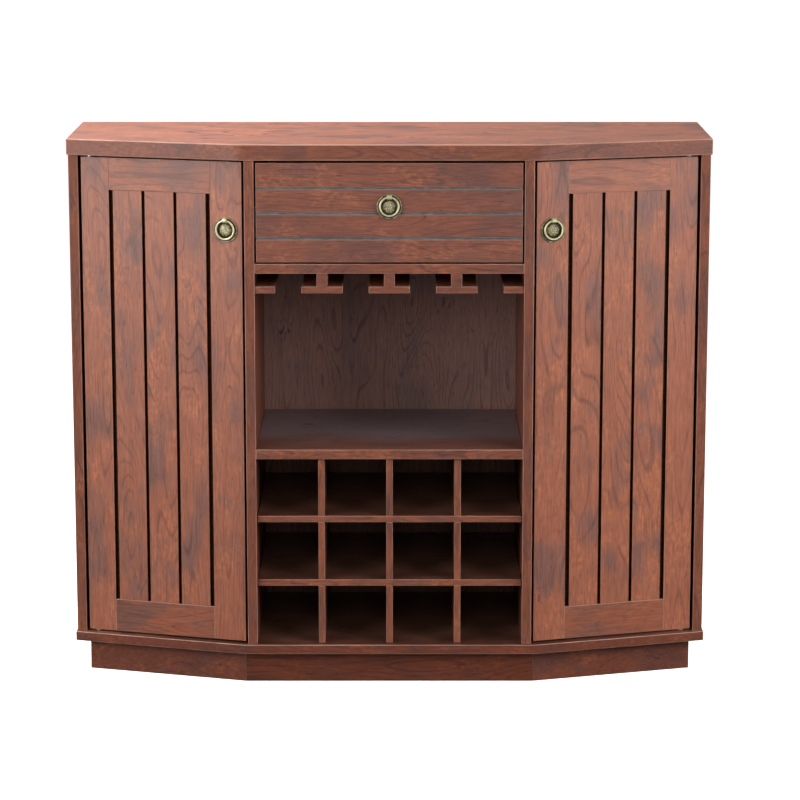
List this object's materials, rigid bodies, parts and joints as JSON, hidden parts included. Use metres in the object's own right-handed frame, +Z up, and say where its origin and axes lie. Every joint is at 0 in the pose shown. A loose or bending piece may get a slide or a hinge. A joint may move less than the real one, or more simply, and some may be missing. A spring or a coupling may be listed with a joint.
{
  "type": "sideboard",
  "caption": "Bar sideboard with clipped front corners, angled plank doors, a grooved drawer, a stem glass rack, an open niche, a bottle rack and antique brass ring pulls.",
  "frame": {"origin": "on the floor, under the middle of the whole sideboard", "axes": "+Z up, the front faces -Y, +X to the right of someone standing in front"},
  "size_m": [1.2, 0.4042, 1.022],
  "materials": {
    "top_wood": "red-brown cherry stain, satin, grain lengthwise",
    "carcass_wood": "red-brown cherry stain, satin, pale worn edges",
    "door_wood": "red-brown cherry stain with dark veins, satin",
    "drawer_front_wood": "red-brown cherry stain, grain crosswise, grey grooves",
    "back_wood": "darker cherry stain with knots, satin",
    "drawer_box_wood": "plain sanded hardwood",
    "antique_brass": "antiqued, dark in the recesses",
    "pin_steel": "zinc-plated",
    "runner_steel": "zinc-plated, folded sheet",
    "catch_plastic": "dark brown moulded case"
  },
  "bodies": {
    "carcass": {"top_panel": "top_wood", "base_panel": "carcass_wood", "plinth_front": "carcass_wood", "plinth_left_angle": "carcass_wood", "plinth_right_angle": "carcass_wood", "plinth_left_side": "carcass_wood", "plinth_right_side": "carcass_wood", "plinth_back": "carcass_wood", "left_side_panel": "carcass_wood", "right_side_panel": "carcass_wood", "left_divider": "carcass_wood", "right_divider": "carcass_wood", "left_back_panel": "back_wood", "centre_back_panel": "back_wood", "right_back_panel": "back_wood", "drawer_shelf": "carcass_wood", "niche_shelf": "carcass_wood", "rack_shelf_lower": "carcass_wood", "rack_shelf_upper": "carcass_wood", "rack_upright_left": "carcass_wood", "rack_upright_centre": "carcass_wood", "rack_upright_right": "carcass_wood", "stem_rail_left": "carcass_wood", "stem_rail_centre": "carcass_wood", "stem_rail_right": "carcass_wood", "stem_strip_left": "carcass_wood", "stem_strip_right": "carcass_wood", "left_inner_shelf": "carcass_wood", "right_inner_shelf": "carcass_wood", "left_runner_track": "runner_steel", "right_runner_track": "runner_steel", "left_catch": "catch_plastic", "right_catch": "catch_plastic"},
    "left_door": {"left_hinge_stile": "door_wood", "left_lock_stile": "door_wood", "left_top_rail": "door_wood", "left_bottom_rail": "door_wood", "left_door_panel": "door_wood", "left_upper_pin": "pin_steel", "left_lower_pin": "pin_steel", "left_door_pull_plate": "antique_brass"},
    "right_door": {"right_hinge_stile": "door_wood", "right_lock_stile": "door_wood", "right_top_rail": "door_wood", "right_bottom_rail": "door_wood", "right_door_panel": "door_wood", "right_upper_pin": "pin_steel", "right_lower_pin": "pin_steel", "right_door_pull_plate": "antique_brass"},
    "drawer": {"drawer_front": "drawer_front_wood", "drawer_left_side": "drawer_box_wood", "drawer_right_side": "drawer_box_wood", "drawer_back": "drawer_box_wood", "drawer_bottom": "drawer_box_wood", "left_slide": "runner_steel", "right_slide": "runner_steel", "drawer_pull_plate": "antique_brass"},
    "left_ring": {"left_door_pull_ring": "antique_brass"},
    "right_ring": {"right_door_pull_ring": "antique_brass"},
    "drawer_ring": {"drawer_pull_ring": "antique_brass"}
  },
  "joints": [
    {"name": "left_door_hinge", "type": "hinge", "parent": "carcass", "child": "left_door", "pos_m": [-0.55666, -0.09077, 0.535], "axis": [0, 0, -1], "range_deg": [0, 115]},
    {"name": "right_door_hinge", "type": "hinge", "parent": "carcass", "child": "right_door", "pos_m": [0.55666, -0.09077, 0.535], "axis": [0, 0, 1], "range_deg": [0, 115]},
    {"name": "drawer_runner", "type": "slide", "parent": "carcass", "child": "drawer", "axis": [0, -1, 0], "range_m": [0, 0.27]},
    {"name": "left_ring_swing", "type": "hinge", "parent": "left_door", "child": "left_ring", "pos_m": [-0.30226, -0.18227, 0.8798], "axis": [-0.9586, 0.2846, 0], "range_deg": [0, 90]},
    {"name": "right_ring_swing", "type": "hinge", "parent": "right_door", "child": "right_ring", "pos_m": [0.30226, -0.18227, 0.8798], "axis": [-0.9586, -0.2846, 0], "range_deg": [0, 90]},
    {"name": "drawer_ring_swing", "type": "hinge", "parent": "drawer", "child": "drawer_ring", "pos_m": [0, -0.19817, 0.925], "axis": [-1, 0, 0], "range_deg": [0, 90]}
  ]
}
